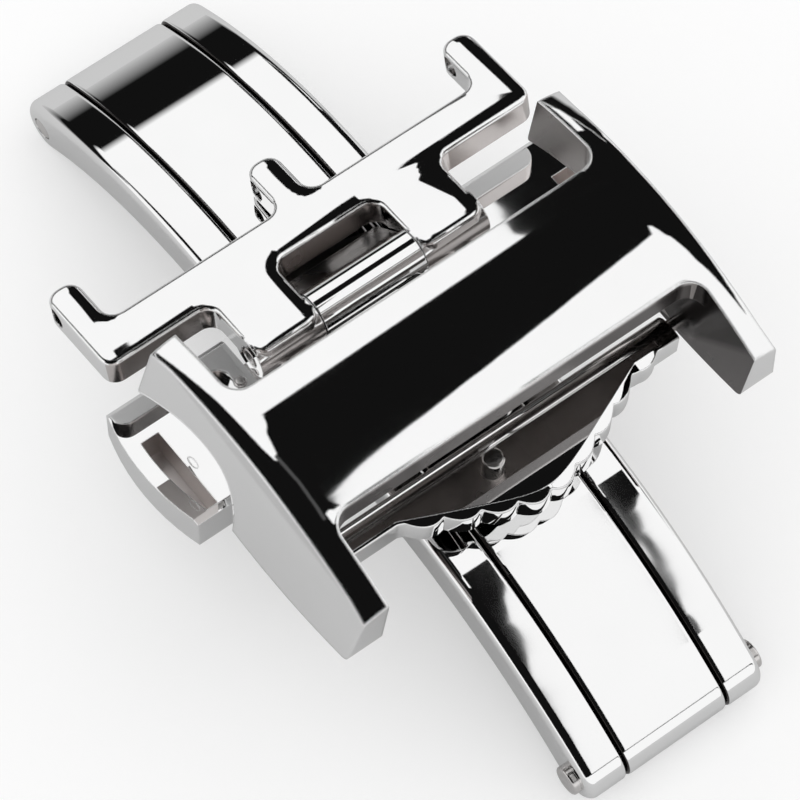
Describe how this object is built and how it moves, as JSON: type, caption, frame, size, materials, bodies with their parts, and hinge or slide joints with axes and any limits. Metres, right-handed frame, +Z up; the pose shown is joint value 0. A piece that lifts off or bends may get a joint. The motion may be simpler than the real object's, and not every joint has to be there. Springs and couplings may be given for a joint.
{
  "type": "butterfly clasp",
  "caption": "Butterfly clasp for a strap: arched base with folding wings, strap link, arched cover, scalloped jaw and side pushers.",
  "frame": {"origin": "centre of the footprint, on the plane that both ends of the arched base stand on", "axes": "+X across the strap, +Y along the base towards the strap link, +Z up through the arched cover"},
  "size_m": [0.024, 0.0412, 0.0148],
  "materials": {
    "polished_steel": "mirror polished stainless steel",
    "satin_steel": "satin stainless steel",
    "spring_steel": "drawn spring wire"
  },
  "bodies": {
    "base": {"base_frame": "polished_steel", "hinge_pin_link": "satin_steel", "hinge_pin_cover": "satin_steel", "guide_pins_left": "satin_steel", "guide_pins_right": "satin_steel", "pusher_springs_left": "spring_steel", "pusher_springs_right": "spring_steel"},
    "left_pusher": {"pusher_left": "polished_steel", "set_pins_left": "satin_steel", "catch_left": "satin_steel", "catch_rivet_left": "satin_steel"},
    "right_pusher": {"pusher_right": "polished_steel", "set_pins_right": "satin_steel", "catch_right": "satin_steel", "catch_rivet_right": "satin_steel"},
    "link_wing": {"link_wing_blade": "polished_steel", "link_pin": "satin_steel"},
    "link": {"strap_link": "polished_steel"},
    "cover_wing": {"cover_wing_blade": "polished_steel", "strap_bed": "satin_steel", "bed_rivets": "satin_steel", "cover": "polished_steel", "strap_peg": "satin_steel", "jaw_pin": "satin_steel"},
    "jaw": {"strap_jaw": "polished_steel"}
  },
  "joints": [
    {"name": "left_pusher_slide", "type": "slide", "parent": "base", "child": "left_pusher", "axis": [1, 0, 0], "range_m": [0, 0.0007], "stiffness_N_per_m": 300, "springref_m": -0.0006, "deforming": ["pusher_springs_left"]},
    {"name": "right_pusher_slide", "type": "slide", "parent": "base", "child": "right_pusher", "axis": [-1, 0, 0], "range_m": [0, 0.0007], "stiffness_N_per_m": 300, "springref_m": -0.0006, "deforming": ["pusher_springs_right"]},
    {"name": "link_wing_hinge", "type": "hinge", "parent": "base", "child": "link_wing", "pos_m": [0, 0.01935, 0.00125], "axis": [-1, 0, 0], "range_deg": [0, 150]},
    {"name": "link_hinge", "type": "hinge", "parent": "link_wing", "child": "link", "pos_m": [0, 0.00142, 0.0084], "axis": [1, 0, 0], "range_deg": [0, 50]},
    {"name": "cover_wing_hinge", "type": "hinge", "parent": "base", "child": "cover_wing", "pos_m": [0, -0.01935, 0.00125], "axis": [1, 0, 0], "range_deg": [0, 150]},
    {"name": "jaw_hinge", "type": "hinge", "parent": "cover_wing", "child": "jaw", "pos_m": [0, -0.00796, 0.00865], "axis": [-1, 0, 0], "range_deg": [0, 65]}
  ]
}
